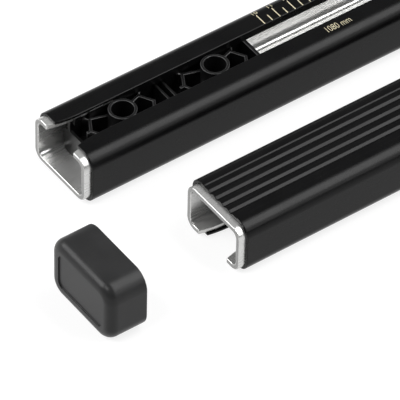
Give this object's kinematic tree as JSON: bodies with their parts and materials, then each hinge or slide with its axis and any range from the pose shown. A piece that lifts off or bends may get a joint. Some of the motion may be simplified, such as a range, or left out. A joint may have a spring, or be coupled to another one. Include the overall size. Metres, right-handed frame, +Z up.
{
  "type": "pair of roof crossbars",
  "caption": "Square steel roof crossbars in ribbed black plastic sleeves, slotted underneath for clamp feet, with moulded slot inserts and push-on end caps, one taken off.",
  "frame": {"origin": "centre of the set's footprint, on the surface that it lies on", "axes": "+X along the bars from their open near ends to their capped far ends, +Y from the slot-down bar to the slot-up bar, +Z up"},
  "size_m": [1.1376, 0.0914, 0.025],
  "materials": {
    "zinc_steel": "galvanised, drawn along the bar",
    "black_sleeve": "satin black extrusion",
    "black_insert": "black moulding",
    "black_cap": "soft black moulding, fine grain"
  },
  "bodies": {
    "root": {"upturned_bar_steel_channel": "zinc_steel", "upturned_bar_plastic_sleeve": "black_sleeve", "upturned_bar_near_insert": "black_insert", "upturned_bar_far_insert": "black_insert", "upturned_bar_end_cap": "black_cap", "upright_bar_steel_channel": "zinc_steel", "upright_bar_plastic_sleeve": "black_sleeve", "upright_bar_near_insert": "black_insert", "upright_bar_far_insert": "black_insert", "upright_bar_end_cap": "black_cap", "loose_end_cap": "black_cap"}
  },
  "joints": []
}
